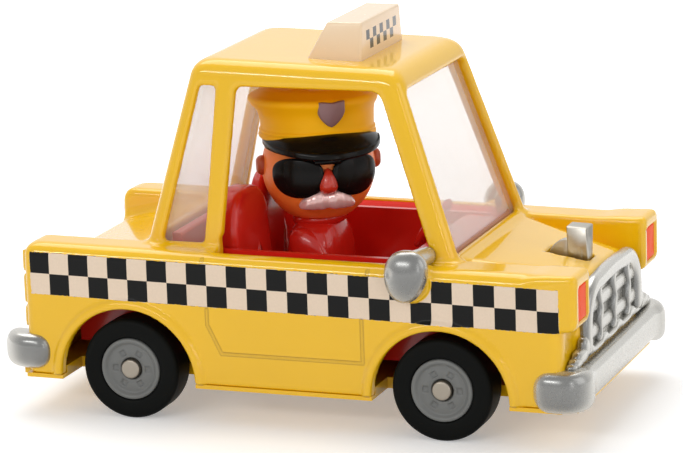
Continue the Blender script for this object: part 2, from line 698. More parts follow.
def door_line_mask(shade):
    """1 on the scribed lines of both flanks, else 0."""
    x, y, z = shade.place()[1:]
    lines = 0.0
    for start, end in DOOR_LINES:
        line = group(shade, "Scribed Line", {
            "X": x, "Z": z, "Start X": start[0], "Start Z": start[1], "Run X": end[0] - start[0],
            "Run Z": end[1] - start[1], "Width": 0.5})["Mask"]
        lines = shade.math("MAXIMUM", lines, line)
    return shade.math("MULTIPLY", lines, shade.step(shade.math("ABSOLUTE", y), 20.6, 20.9))


def paint_material(colours):
    """Glossy yellow paint with the printed checker band and the scribed doors."""
    shade, shader = new_material("yellow_paint", Coat_Roughness=0.03, Coat_IOR=1.5,
                                 Specular_IOR_Level=0.1)
    out = group(shade, "Cast Tone", {"Colour": colours.paint, "Drift": 0.05, "Roughness": 0.24,
                                     "Specks": 0.12})
    band = group(shade, "Checker Band", {})
    lines = door_line_mask(shade)
    mottle = shade.noise(shade.place()[0], scale=3.0, detail=4.0, roughness=0.7)
    weave = shade.math("MULTIPLY_ADD", mottle, 0.16, 0.92)
    printed = shade.mix(band["Dark"], shade.dim(colours.band_cream, weave),
                        shade.dim(colours.band_black, weave))
    plain = shade.mix(shade.math("MULTIPLY", lines, 0.8), out["Colour"], shade.dim(out["Colour"], 0.82))
    rough = shade.add("ShaderNodeMix", {0: band["Band"], 2: out["Roughness"], 3: 0.42}).outputs[0]
    shade.feed(shader.inputs["Coat Weight"], shade.math("MULTIPLY_ADD", band["Band"], -0.68, 0.8))
    height = shade.math("MULTIPLY_ADD", lines, -0.22, shade.math("MULTIPLY", out["Height"], 0.12))
    height = shade.math("MULTIPLY_ADD", band["Band"], 0.02, height)
    feed_shader(shade, shader, shade.mix(band["Band"], plain, printed), rough, height, 1.0)


def silver_material(colours):
    """Silver spray paint: flakes dark face on and light at a glancing angle, with a fine speckle."""
    shade, shader = new_material("silver", Metallic=0.8)
    facing = shade.add("ShaderNodeLayerWeight", {"Blend": 0.5}).outputs["Facing"]
    flakes = shade.noise(shade.place()[0], scale=5.0, detail=3.0, roughness=0.8)
    dark = shade.dim(colours.silver_dark, shade.math("MULTIPLY_ADD", flakes, 0.5, 0.76))
    light = shade.mix(shade.step(facing, 0.06, 0.62), dark, colours.silver)
    out = group(shade, "Cast Tone", {"Colour": light, "Drift": 0.1, "Roughness": 0.26, "Specks": 0.1})
    feed_shader(shade, shader, out["Colour"], out["Roughness"], out["Height"], 0.1)


def clear_material(colours):
    """Clear plastic pane: mostly let through, with a gloss that grows at a glancing angle."""
    shade, shader = new_material("clear_plastic", Specular_IOR_Level=0.5, IOR=1.45)
    haze = shade.noise(shade.place()[0], scale=0.12, detail=3.0)
    tint = shade.mix(shade.math("MULTIPLY", haze, 0.5), colours.pane, WHITE)
    edge = shade.add("ShaderNodeFresnel", {"IOR": 1.35}).outputs[0]
    film = shade.math("MULTIPLY_ADD", haze, 0.08, 0.08)
    alpha = shade.math("MULTIPLY_ADD", edge, 0.45, film, clamp=True)
    shade.feed(shader.inputs["Alpha"], alpha)
    feed_shader(shade, shader, tint, shade.math("MULTIPLY_ADD", haze, 0.06, 0.02), haze, 0.1)


# small squares of the roof sign: their side, the corner (y, z) of the first, and squares in a row
SIGN_SQUARE, SIGN_CORNER, SIGN_SQUARES = 1.4, (-6.3, 52.2), 9.0


def sign_material(colours):
    """Cream plastic with two rows of small printed squares across the front face."""
    shade, shader = new_material("cream_plastic", Coat_Weight=0.3, Coat_Roughness=0.05)
    out = group(shade, "Cast Tone", {"Colour": colours.cream, "Drift": 0.05, "Roughness": 0.25})
    x, y, z = shade.place()[1:]
    across, up = (shade.math("DIVIDE", shade.math("SUBTRACT", value, start), SIGN_SQUARE)
                  for value, start in zip((y, z), SIGN_CORNER))
    mask = shade.odd_square(across, up)
    for value, low, high in ((x, 7.7, 99.0), (across, 0.0, SIGN_SQUARES), (up, 0.0, 2.0)):
        mask = shade.limit(mask, value, low, high, 0.02)
    colour = shade.mix(mask, out["Colour"], colours.band_black)
    feed_shader(shade, shader, colour, out["Roughness"], out["Height"], 0.04)


FINISHES = {
    "red_plastic": ("red", dict(drift=0.1, roughness=0.22, Coat_Weight=0.2, Coat_Roughness=0.08,
                                Specular_IOR_Level=0.35)),
    "rim_plastic": ("red", dict(drift=0.1, roughness=0.5, Specular_IOR_Level=0.06)),
    "pane_edge": ("pane_edge", dict(drift=0.15, roughness=0.3, Specular_IOR_Level=0.1)),
    "orange_lens": ("lens", dict(drift=0.1, roughness=0.3, grain=0.06, Specular_IOR_Level=0.03)),
    "bare_metal": ("metal", dict(drift=0.25, roughness=0.34, grain=0.25, specks=0.3, Metallic=1.0)),
    "steel": ("steel", dict(drift=0.2, roughness=0.38, grain=0.12, specks=0.25, Metallic=0.9)),
    "grey_plastic": ("grey", dict(drift=0.14, roughness=0.42, grain=0.08, Specular_IOR_Level=0.35)),
    "tyre_plastic": ("tyre", dict(drift=0.2, roughness=0.5, grain=0.08, Specular_IOR_Level=0.05)),
    "skin_plastic": ("skin", dict(drift=0.08, roughness=0.34, grain=0.04, Specular_IOR_Level=0.3)),
    "cap_plastic": ("cap", dict(drift=0.1, roughness=0.42, grain=0.12, Specular_IOR_Level=0.15)),
    "badge_plastic": ("badge", dict(drift=0.2, roughness=0.4, grain=0.08, Metallic=0.3)),
    "black_plastic": ("black", dict(drift=0.3, roughness=0.22, Specular_IOR_Level=0.12)),
    "moustache_plastic": ("moustache", dict(drift=0.2, roughness=0.24, grain=0.12, Metallic=0.35)),
    "nose_plastic": ("nose", dict(drift=0.12, roughness=0.3, grain=0.04, Coat_Weight=0.2)),
    "ear_plastic": ("ear", dict(drift=0.12, roughness=0.4, grain=0.04)),
}


def colour_setting(name, description, code):
    return bpy.props.FloatVectorProperty(name=name, description=description, subtype="COLOR", size=4,
                                         min=0.0, max=1.0, default=tone(code))


class TaxiColours(bpy.types.PropertyGroup):
    """Colours of the finishes."""
    paint: colour_setting("Paint", "Yellow of the cast body", "F0BC0A")
    band_cream: colour_setting("Band cream", "Pale squares of the checker band", "E8D3BC")
    band_black: colour_setting("Band black", "Dark squares of the checker band", "0C0C0B")
    red: colour_setting("Interior", "Red of the tub, seats and jacket", "D6261A")
    pane: colour_setting("Panes", "Tint of the clear windows", "FBF3EC")
    pane_edge: colour_setting("Pane edge", "Amber lower edge of the windscreen", "B8651F")
    cream: colour_setting("Roof sign", "Cream of the roof sign", "EED3B0")
    silver: colour_setting("Silver", "Bumpers, grille and mirrors at a glancing angle", "C6C4BE")
    silver_dark: colour_setting("Silver, face on", "Bumpers, grille and mirrors seen face on", "7B7B79")
    lens: colour_setting("Lenses", "Orange-red of the lamps", "FB5522")
    metal: colour_setting("Bare metal", "Hood ornament", "ABA79E")
    steel: colour_setting("Steel", "Axles and screws", "958D81")
    grey: colour_setting("Hubs", "Grey of the wheel hubs", "6F706E")
    tyre: colour_setting("Tyres", "Black of the tyres", "101110")
    skin: colour_setting("Skin", "Orange-red of the driver's head", "FF8A3A")
    nose: colour_setting("Nose", "Deeper red of the driver's nose", "C4301B")
    ear: colour_setting("Ears", "Brown-red of the driver's ears", "B5502B")
    cap: colour_setting("Cap", "Yellow of the driver's cap", "FFBE0C")
    badge: colour_setting("Badge", "Shield on the cap", "86686A")
    black: colour_setting("Visor", "Black of the visor and the glasses", "0E0C0A")
    moustache: colour_setting("Moustache", "Pale sheen of the moustache", "E2BDB8")


NODE_FINISH = {
    "body_shell": "yellow_paint", "base_plate": "yellow_paint", "chassis_screws": "steel",
    "interior_tub": "red_plastic", "seat_right": "red_plastic", "seat_left": "red_plastic",
    "rear_bench": "red_plastic", "dashboard": "red_plastic", "steering_wheel": "red_plastic",
    "windscreen": "clear_plastic", "rear_glazing": "clear_plastic", "roof_sign": "cream_plastic",
    "grille": "silver", "front_bumper": "silver", "rear_bumper": "silver",
    "headlamp_right": "orange_lens", "headlamp_left": "orange_lens",
    "tail_lamp_right": "orange_lens", "tail_lamp_left": "orange_lens",
    "mirror_right": "silver", "mirror_left": "silver", "hood_ornament": "bare_metal",
    "front_axle": "steel", "rear_axle": "steel",
    "front_hub_right": "grey_plastic", "front_hub_left": "grey_plastic",
    "rear_hub_right": "grey_plastic", "rear_hub_left": "grey_plastic",
    "front_tyre_right": "tyre_plastic", "front_tyre_left": "tyre_plastic",
    "rear_tyre_right": "tyre_plastic", "rear_tyre_left": "tyre_plastic",
    "driver_torso": "red_plastic", "driver_head": "skin_plastic", "driver_cap": "cap_plastic",
    "cap_badge": "badge_plastic", "driver_glasses": "black_plastic",
    "driver_moustache": "moustache_plastic",
}


def place_mesh(mesh, finish, body, *nodes):
    """Object of a mesh, which rides on a body of the frame and may stand for one of its nodes."""
    piece = bpy.data.objects.new(mesh.name, mesh)
    bpy.context.scene.collection.objects.link(piece)
    mesh.materials.append(bpy.data.materials[finish + FINISH])
    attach(piece, body)
    if nodes:
        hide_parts(*nodes)


def place_piece(name, parts, finish, body, *nodes, merge=0.002):
    """Object of closed point-and-quad parts, joined in one mesh."""
    place_mesh(joined_mesh(name, parts, merge), finish, body, *nodes)


class PieceStep(bpy.types.Operator):
    """Shared setup of the steps that make pieces."""
    bl_idname = "toy_taxi.piece_step"
    bl_label = "Make Piece"
    bl_options = {"REGISTER", "UNDO"}

    def execute(self, context):
        self.make(context.scene)
        return {"FINISHED"}


class MakeFinishes(PieceStep):
    """Builds the finishes and gives one to every node of the frame"""
    bl_idname = "toy_taxi.make_finishes"
    bl_label = "Finishes"

    def make(self, scene):
        colours = scene.toy_taxi_colours
        build_cast_tone()
        build_line_mask()
        build_checker_band()
        paint_material(colours)
        clear_material(colours)
        silver_material(colours)
        sign_material(colours)
        for name, (colour, values) in FINISHES.items():
            cast_material(name, getattr(colours, colour), **values)
        for name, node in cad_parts.items():
            material = bpy.data.materials[NODE_FINISH[name] + FINISH]
            node.data.materials.clear()
            node.data.materials.append(material)


class TaxiBodySizes(bpy.types.PropertyGroup):
    """Softness of the cast body."""
    edge: bpy.props.FloatProperty(name="Edge", description="Softening of the window rims, in millimetres",
                                  default=0.8, min=0.2, max=2.0)
    cabin_edge: bpy.props.FloatProperty(name="Cabin edge", min=0.5, max=4.0, default=2.4,
                                        description="Softening of the cabin's outer edges, in millimetres")
    cell: bpy.props.FloatProperty(name="Cell", description="Grid step of the cast body, in millimetres",
                                  default=0.5, min=0.4, max=2.0)


# corners of the cast body's grid, a little past its ends
GRID_LOW, GRID_HIGH = (-41.3, -22.55, 5.1), (43.6, 22.55, 52.6)


class MakeBody(PieceStep):
    """Makes the yellow cast body as one soft-edged shell"""
    bl_idname = "toy_taxi.make_body"
    bl_label = "Body"

    def make(self, scene):
        sizes = scene.toy_taxi_body
        mesh = field_mesh("body_casting",
                          lambda x, y, z: body_field(x, y, z, sizes.edge, sizes.cabin_edge),
                          GRID_LOW, GRID_HIGH, sizes.cell)
        place_mesh(mesh, "yellow_paint", "car", "body_shell")


def tyre_profile():
    """Closed (radius, along) outline of a tyre, rounder at its back than at its face."""
    inner, outer, bore, shoulder = 15.05, 20.65, 4.5, 6.2
    back, front = 1.3, 0.75
    return np.concatenate([
        [[bore, inner], [shoulder, inner]],
        rounded(6, back, (WHEEL_RADIUS - back, inner + back), -90, 0), [[WHEEL_RADIUS, 18.6]],
        rounded(9, front, (WHEEL_RADIUS - front, outer - front), 0, 84),
        [[shoulder, outer], [5.0, 20.6], [4.7, 20.5], [4.56, 20.3], [bore, inner]]])


def hub_profile():
    """Closed (radius, along) outline of a hub: a rolled rim round a dish with a hole for the axle."""
    dish = np.linspace(3.4, 1.72, 22)
    wave = 20.12 + 0.1 * np.sin((3.4 - dish) * 1.85)
    return np.concatenate([
        [[1.4, 15.7], [4.3, 15.7], [4.5, 16.0], [4.5, 20.2], [4.48, 20.44], [4.38, 20.6], [4.2, 20.66],
         [4.0, 20.62], [3.82, 20.46], [3.68, 20.24], [3.5, 20.12]], np.stack([dish, wave], axis=-1),
        [[1.62, 20.05], [1.58, 19.8], [1.56, 19.4], [1.4, 19.4], [1.4, 15.7]]])


def axle_profile():
    """(Radius, along) outline of an axle from one slightly domed end to the other."""
    radius, edge, end = 1.4, 0.28, 20.72
    half = np.concatenate([[[0.0, end], [radius / 2, end - 0.01]],
                           rounded(5, edge, (radius - edge, end - edge), 90, 0), [[radius, 15.0]]])
    return np.concatenate([half, half[::-1] * (1, -1)])


def hub_dents(radius, along, angle):
    """Ripple of a hub's face: six shallow square dents on a circle, each a steep soft step down."""
    circle, half_deep, half_wide, depth = 2.5, 0.4, 0.42, 0.3
    turn = (angle + 0.52) % (math.pi / 3) - math.pi / 6
    reach = np.maximum(np.abs(radius - circle) / half_deep, np.abs(radius * turn) / half_wide)
    dent = -depth * np.sign(along) / (1 + np.exp((reach - 1) * 14))
    return np.where(np.abs(along) > 19.9, dent, 0.0)


class MakeWheels(PieceStep):
    """Makes the four tyres and dished hubs and the two steel axles"""
    bl_idname = "toy_taxi.make_wheels"
    bl_label = "Wheels"

    def make(self, scene):
        for place, x in (("front", FRONT_WHEEL), ("rear", REAR_WHEEL)):
            body, centre = f"{place}_wheelset", (x, 0.0, WHEEL_RADIUS)
            axle = turned_points(axle_profile(), centre, 40, across=True)
            place_piece(f"{place}_axle_rod", [axle], "steel", body, f"{place}_axle")
            for side, sign in (("right", -1.0), ("left", 1.0)):
                tyre = turned_points(tyre_profile() * (1, sign), centre, 96, across=True)
                place_piece(f"{place}_tyre_{side}_ring", [tyre], "tyre_plastic", body,
                            f"{place}_tyre_{side}")
                hub = turned_points(hub_profile() * (1, sign), centre, 120, across=True, ripple=hub_dents)
                place_piece(f"{place}_hub_{side}_disc", [hub], "grey_plastic", body, f"{place}_hub_{side}")


BUMPER_FRONT, BUMPER_CORNER, BUMPER_SIDE = 42.1, 2.3, 20.35


def bumper_run():
    """Half of a bumper's line seen from above: (ahead, across) points from its middle round the corner."""
    corner = (BUMPER_FRONT - BUMPER_CORNER, BUMPER_SIDE - BUMPER_CORNER)
    tail = np.linspace(0.08, math.pi / 2, 14)
    return np.concatenate([
        np.linspace((BUMPER_FRONT, 0.0), (BUMPER_FRONT, corner[1]), 24)[:-1],
        rounded(10, BUMPER_CORNER, corner, 0, 90),
        np.stack([corner[0] - 3.68 * np.sin(tail), np.full(14, BUMPER_SIDE)], axis=-1)])


class MakeBumpers(PieceStep):
    """Makes the two silver bumpers, round bars with fuller rounded ends that wrap the corners"""
    bl_idname = "toy_taxi.make_bumpers"
    bl_label = "Bumpers"

    def make(self, scene):
        # half depth, half height, reach and height, of the end blocks and of the bar between them
        for name, sign, block, bar in (
                ("front", 1.0, (2.25, 2.95, 42.1, 8.35), (1.72, 2.35, 42.08, 8.65)),
                ("rear", -1.0, (2.25, 2.6, 42.1, 9.3), (1.36, 1.7, 41.54, 9.1))):
            run = bumper_run()
            length = np.concatenate([[0], np.cumsum(np.linalg.norm(np.diff(run, axis=0), axis=1))])
            end = length[-1] - length
            dome = np.sqrt(np.maximum(1 - np.clip(1 - end / 2.7, 0, 1) ** 2.2, 0.0))
            share = 1 / (1 + np.exp((end - 8.0) * 2.6))
            half_out, half_up, reach, height = (low + (high - low) * share
                                                for low, high in zip(bar, block))
            run[:, 0] += reach - BUMPER_FRONT
            scale = np.stack([half_out * dome, half_up * dome], axis=-1)
            path = np.concatenate([run, height[:, None]], axis=1)
            path = np.concatenate([path[::-1] * (1, -1, 1), path[1:]]) * (sign, 1, 1)
            scale = np.concatenate([scale[::-1], scale[1:]])
            points, quads = carried_points(path, oval_section(1.0, 1.0, 0.66, 40), scale)
            points = np.clip(points, *node_box(f"{name}_bumper"))
            place_piece(f"{name}_bumper_bar", [(points, quads)], "silver", "car", f"{name}_bumper")


GRILLE_HALF, GRILLE_TOP, GRILLE_ROUND, GRILLE_FOOT = 12.75, 20.75, 5.3, 11.9


def grille_frame():
    """Arched tube, and the thin plate that closes it behind the ribs."""
    half, top, radius = GRILLE_HALF, GRILLE_TOP, GRILLE_ROUND
    leg = np.linspace((-half, GRILLE_FOOT), (-half, top - radius - 0.5), 6)
    across = np.linspace(-6, 6, 11)
    arch = np.concatenate([
        leg, rounded(14, radius, (-half + radius, top - radius), 180, 96),
        np.stack([across, top + 0.3 - 0.008 * across ** 2], axis=-1),
        rounded(14, radius, (half - radius, top - radius), 84, 0), leg[::-1] * (-1, 1)])
    path = np.concatenate([np.full((len(arch), 1), 41.38), arch], axis=1)
    tube = carried_points(path, oval_section(1.25, 0.96, 0.85, 24), axis=(1.0, 0.0, 0.0))
    corner = rounded(8, radius - 0.6, (half - radius - 0.3, top - radius - 0.3), 0, 90)
    outline = np.concatenate([[[-half + 0.3, 11.6], [half - 0.3, 11.6]], corner, corner[::-1] * (-1, 1)])
    flat, quads = plate_points(outline, 0.6, 0.15)
    return [tube, (np.stack([flat[:, 2] + 40.96, flat[:, 0], flat[:, 1]], axis=-1), quads)]


def grille_bars():
    """Three upright ribs that bulge and sway between the slats, and two cross slats."""
    parts = []
    for y in (-7.1, 0.0, 7.1):
        path, scale = dome_path((41.35, y, 12.0), (41.35, y, 20.7), 0.7, 36, 5)
        phase = (path[:, 2] - 15.9) / 3.6 * 2 * math.pi
        path[:, 0] += 0.25 * np.sin(np.linspace(0, math.pi, len(path)))
        path[:, 1] += 0.2 * np.sin(phase)
        scale[:, 0] *= 1 + 0.3 * np.cos(phase)
        parts.append(carried_points(path, oval_section(0.62, 0.72, 0.85, 16), scale, axis=(1.0, 0.0, 0.0)))
    for z in (14.1, 17.7):
        path, scale = dome_path((41.15, -GRILLE_HALF, z), (41.15, GRILLE_HALF, z), 0.6, 24, 4)
        parts.append(carried_points(path, oval_section(0.62, 1.15, 0.85, 18), scale))
    return parts


def grille_sill():
    """Sill whose top edge rises to a soft tooth under each leg and rib.

    Point = (front + out, along, foot + height (1 + up)), with height = low + low * rise(along).
    """
    low, foot = 0.42, 11.45
    along = np.linspace(-13.0, 13.0, 105)
    away = np.min([np.abs(along - middle) for middle in (-12.4, -5.3, 1.8, 8.9)], axis=0)
    height = low + low / (1 + np.exp((away - 1.35) * 3.4))
    section = oval_section(1.0, 1.0, 0.7, 20)
    rows = np.stack(np.broadcast_arrays(41.3 + section[:, 0] * 0.95, along[:, None],
                                        foot + height[:, None] * (1 + section[:, 1])), axis=-1)
    return [(rows.reshape(-1, 3), grid_quads(len(along), len(section)))]


def grille_feet():
    """Four steps of rounded lumps, lower and lower, beside the grille at both sides."""
    steps = (((41.4, 13.7, 13.0), (0.85, 1.35, 1.6)), ((41.35, 15.5, 12.2), (0.9, 2.3, 1.0)),
             ((41.3, 17.3, 11.75), (0.85, 1.9, 0.7)), ((41.2, 18.7, 11.5), (0.75, 1.15, 0.45)))
    parts = []
    for side in (-1.0, 1.0):
        for centre, size in steps:
            lump, quads = pillow_points(size, 0.75, 18, 28)
            parts.append(((lump + centre) * (1, side, 1), quads))
    return parts


class MakeGrille(PieceStep):
    """Makes the silver grille: an arched tube, wavy ribs, cross slats, a toothed sill and stepped feet"""
    bl_idname = "toy_taxi.make_grille"
    bl_label = "Grille"

    def make(self, scene):
        parts = grille_frame() + grille_bars() + grille_sill() + grille_feet()
        place_piece("grille_casting", parts, "silver", "car", "grille")


class MakeLamps(PieceStep):
    """Makes the two inset head lenses and the two bulging tail lenses"""
    bl_idname = "toy_taxi.make_lamps"
    bl_label = "Lamps"

    def make(self, scene):
        gap = np.array([0.0, 0.03, 0.03])
        for name in ("headlamp", "tail_lamp"):
            for side in ("right", "left"):
                low, high = node_box(f"{name}_{side}")
                low, high = low + gap, high - gap
                if name == "headlamp":
                    points, quads = block_points(low, high, 0.3)
                else:
                    points, quads = pillow_points((high - low) / 2, 0.42)
                    points = points + (low + high) / 2
                place_piece(f"{name}_{side}_lens", [(points, quads)], "orange_lens", "car",
                            f"{name}_{side}")


class MakeMirrors(PieceStep):
    """Makes the two egg-shaped silver door mirrors with their stubs"""
    bl_idname = "toy_taxi.make_mirrors"
    bl_label = "Mirrors"

    def make(self, scene):
        for side, sign in (("right", -1.0), ("left", 1.0)):
            egg, quads = pillow_points((3.1, 2.1, 3.75), 0.94, 36, 56)
            egg[:, 0] = egg[:, 0] * (1 + 0.035 * egg[:, 2]) + 0.08 * egg[:, 2]
            dent = np.exp(-((egg[:, 0] + 2.0) ** 2 + (egg[:, 2] - 0.6) ** 2) / 0.18)
            egg[:, 1] += 0.35 * dent * (egg[:, 1] < 0)
            egg = egg * (1, -sign, 1) + (18.7, 22.4 * sign, 23.9)
            share = np.linspace(0, 1, 12)[:, None]
            path = (19.3, sign * 21.9, 25.6) + share * (0.9, sign * -4.8, 0.1)
            stub = carried_points(path, oval_section(1.0, 1.0, 1.0, 20), (1.75 - 0.5 * share) * (1, 1),
                                  axis=(0.0, 0.18, 0.98))
            place_piece(f"mirror_{side}_egg", [(egg, quads), stub], "silver", "car", f"mirror_{side}")


class MakeOrnament(PieceStep):
    """Makes the bare metal hood ornament: a flaring slab behind a low round fin"""
    bl_idname = "toy_taxi.make_ornament"
    bl_label = "Hood ornament"

    def make(self, scene):
        foot, height = 21.2, 5.8
        slab, quads = block_points((35.45, -1.0, foot), (38.55, 1.0, foot + height), 0.22, 4)
        lift = np.clip((slab[:, 2] - foot) / height, 0, 1)
        slab[:, 1] *= 1 + 0.65 * lift
        slab[:, 2] += np.where(lift > 0.97, 0.12 * np.sin(slab[:, 0] * 5) - 0.1, 0.0)
        outline = np.concatenate([[[35.7, 21.25], [35.7, 24.95]], rounded(12, 3.0, (35.5, 21.95), 92, 180),
                                  [[32.5, 21.25]]])
        flat, fin_quads = plate_points(outline, 1.2, 0.12, rings=2)
        fin = np.stack([flat[:, 0], flat[:, 2], flat[:, 1]], axis=-1)
        ridge = block_points((37.0, -1.32, foot), (37.7, 1.32, 26.6), 0.15, 3)
        place_piece("ornament_casting", [(slab, quads), (fin, fin_quads), ridge], "bare_metal", "car",
                    "hood_ornament", merge=0.0005)


class MakeRoofSign(PieceStep):
    """Makes the cream roof sign, which narrows upwards and has a long sloping back"""
    bl_idname = "toy_taxi.make_roof_sign"
    bl_label = "Roof sign"

    def make(self, scene):
        front, half, height = 8.2, 8.9, 5.7
        points, quads = block_points((0.0, -half, -0.3), (front, half, height), 0.42, 5)
        lift = points[:, 2] / height
        points[:, 0] = front - (front - points[:, 0]) * (1 - 0.375 * lift) - 0.1 * lift
        points[:, 1] *= 1 - 0.09 * lift
        roof = roof_line(points[:, 0])
        points[:, 2] = np.minimum(roof - 0.15 + (height - (roof - 50.85)) * lift, 56.38)
        place_piece("roof_sign_block", [(points, quads)], "cream_plastic", "car", "roof_sign")


class MakeTubRim(PieceStep):
    """Makes the tub's red rim, a rolled strip in each door opening, and the windscreen's amber foot"""
    bl_idname = "toy_taxi.make_tub_rim"
    bl_label = "Tub rim"

    def make(self, scene):
        inner, foot, half_wide, tall = 18.45, 21.65, 3.4, 2.8
        roll = np.radians(np.linspace(0, 90, 12))
        section = np.concatenate([
            np.stack([inner - half_wide * np.cos(roll), foot + tall * np.sin(roll)], axis=-1),
            [[inner, foot]]])
        rear, front = -10.9, 20.2
        parts = [carried_points(np.linspace((start, 0, 0), (end, 0, 0), 12), section)
                 for start, end in ((rear, front), (front, rear))]
        place_piece("tub_rim", parts, "rim_plastic", "car")

        corner = rounded(8, 2.0, (20.2, 13.0), 90, 0) + (0.0, 0.05)
        half = np.concatenate([corner, [[22.2, 8.0], [22.2, 0.0]]])
        path = np.concatenate([half, half[-2::-1] * (1, -1)])
        path = np.concatenate([path, np.full((len(path), 1), 23.7)], axis=1)
        foot = carried_points(path, oval_section(0.38, 1.5, 0.5, 20))
        place_piece("windscreen_foot", [foot], "pane_edge", "car")


class MakeGlazing(PieceStep):
    """Makes the two quarter panes and the back pane, flat sheets that lean with the cabin's walls"""
    bl_idname = "toy_taxi.make_glazing"
    bl_label = "Rear glazing"

    def pane(self, corners):
        """Sheet with round edges as (along, height, depth) points, with eight steps to a side."""
        share = np.linspace(0, 1, 8, endpoint=False)[:, None]
        rim = np.concatenate([a + (b - a) * share for a, b in zip(corners, np.roll(corners, -1, axis=0))])
        flat, quads = plate_points(rim, 0.8, 0.12, rings=3)
        return (*flat.T, quads)

    def make(self, scene):
        low, high = 24.6, 48.7
        quarter = np.array([(-21.6, low), (-12.3, low), (-10.9, high), (-15.2, high)])
        back = np.array([(-15.0, low), (15.0, low), (12.6, high), (-12.6, high)])
        parts = []
        along, z, depth, quads = self.pane(quarter)
        for sign in (-1.0, 1.0):
            reach = wall_reach(CABIN_SIDE, z) - 2.1 + depth
            parts.append((np.stack([along, sign * reach, z], axis=-1), quads))
        along, z, depth, quads = self.pane(back)
        reach = wall_reach(CABIN_REAR, z) + 2.2 + depth
        parts.append((np.stack([reach, along, z], axis=-1), quads))
        place_piece("rear_glazing_panes", parts, "clear_plastic", "car", "rear_glazing")


class MakeSteering(PieceStep):
    """Makes the steering wheel, a domed disc with a raised rim on a leaning column"""
    bl_idname = "toy_taxi.make_steering"
    bl_label = "Steering wheel"

    def make(self, scene):
        lean = math.radians(55.0)
        rim = rounded(12, 0.5, (3.8, 0.0), 150, -150)
        disc = np.concatenate([[[0.0, 0.55], [1.4, 0.45], [2.6, 0.15]], rim, [[2.6, -0.3], [0.9, -0.35]],
                               [[0.9, -4.5], [0.0, -4.5]]])
        points, quads = turned_points(disc, (0.0, 0.0, 0.0), 64)
        across = points[:, 0] * math.cos(lean) - points[:, 2] * math.sin(lean)
        up = points[:, 0] * math.sin(lean) + points[:, 2] * math.cos(lean)
        points = np.stack([across, points[:, 1], up], axis=-1) + (13.7, 4.3, 25.0)
        place_piece("steering_disc", [(points, quads)], "red_plastic", "car", "steering_wheel")


class MakeSeats(PieceStep):
    """Makes the two moulded front seats with arched backs"""
    bl_idname = "toy_taxi.make_seats"
    bl_label = "Seats"

    def make(self, scene):
        low, high, radius = 0.8, 13.4, 4.8
        side_foot, side_top, arch_foot = 12.0, 26.6, 26.9
        arch = np.concatenate([
            [[low, 10.45], [high, 10.45]], np.linspace((high, side_foot), (high, side_top), 8),
            rounded(9, radius, (high - radius, arch_foot), 4, 82), [[(low + high) / 2, 31.75]],
            rounded(9, radius, (low + radius, arch_foot), 98, 176),
            np.linspace((low, side_top), (low, side_foot), 8)])
        flat, quads = plate_points(arch, 2.6, 0.75, crown=0.35, rings=6, arc=5)
        share = (flat[:, 1] - 10.4) / 21.4
        for side, sign, thick, lean in (("right", -1.0, 1.8 - 0.3 * share, 1.3),
                                        ("left", 1.0, 1.45 - 0.75 * share, 2.2)):
            back = np.stack([-10.8 - lean * share + flat[:, 2] * thick, flat[:, 0] * sign, flat[:, 1]],
                            axis=-1)
            cushion = block_points((-12.6, low * sign, 10.5), (1.95, high * sign, 16.6), 1.5, 6)
            place_piece(f"seat_{side}_moulding", [(back, quads), cushion], "red_plastic", "car",
                        f"seat_{side}")


# the head's own axes at rest, the neck's axis, and the middle, radius and jaw of its ball
FACE_AHEAD = np.array([0.5, -0.8660254, 0.0])
FACE_SIDE = np.array([0.8660254, 0.5, 0.0])
NECK = np.array([-3.8, 4.3, 0.0])
HEAD_MIDDLE, HEAD_RADIUS, JAW = 32.8, 8.3, 25.75
CAP_TURN = math.radians(4.5)


def head_place(side, ahead, up, turn=0.0):
    """Points of the turned head: its own side, ahead and up reaches set round the neck's axis."""
    side, ahead, up = (np.asarray(value, dtype=float) for value in (side, ahead, up))
    side, ahead = (side * math.cos(turn) + ahead * math.sin(turn),
                   ahead * math.cos(turn) - side * math.sin(turn))
    return NECK + side[..., None] * FACE_SIDE + ahead[..., None] * FACE_AHEAD + up[..., None] * (0, 0, 1.0)


def ball_place(radius, turn, lift):
    """Points of the head at a radius from its middle, turned round the neck and lifted, in radians."""
    return head_place(radius * np.cos(lift) * np.sin(turn), radius * np.cos(lift) * np.cos(turn),
                      HEAD_MIDDLE + radius * np.sin(lift))


class MakeDriverBody(PieceStep):
    """Makes the driver's red jacket with its round collar and sleeves"""
    bl_idname = "toy_taxi.make_driver_body"
    bl_label = "Driver's jacket"

    def make(self, scene):
        chest, quads = pillow_points((4.4, 5.9, 4.9), 0.8, 32, 56)
        chest[:, :2] *= 1 - 0.025 * chest[:, 2:3]
        chest = chest + NECK + (0, 0, 21.1)
        chest[:, 2] = np.maximum(chest[:, 2], 17.0)
        ring = rounded(20, 0.95, (3.1, 25.2), 0, 360)[:-1]
        angle = np.linspace(0, 2 * math.pi, 48, endpoint=False)
        collar = NECK + np.stack([ring[:, :1] * np.cos(angle), ring[:, :1] * np.sin(angle),
                                  ring[:, 1:] + 0.25 * np.cos(angle)], axis=-1)
        neck = turned_points([[2.0, 24.0], [2.0, 28.8], [1.6, 29.0], [0.0, 29.0]], NECK, 32)
        parts = [(chest, quads), (collar.reshape(-1, 3), grid_quads(19, 48, closed_rows=True)), neck]
        for side in (-1.0, 1.0):
            arm, quads = pillow_points((3.0, 1.7, 4.0), 0.9, 28, 44)
            arm[:, 0] -= 0.35 * arm[:, 2]
            parts.append((arm + (-3.6, 4.3 + side * 4.5, 20.4), quads))
        place_piece("driver_jacket", parts, "red_plastic", "car", "driver_torso")


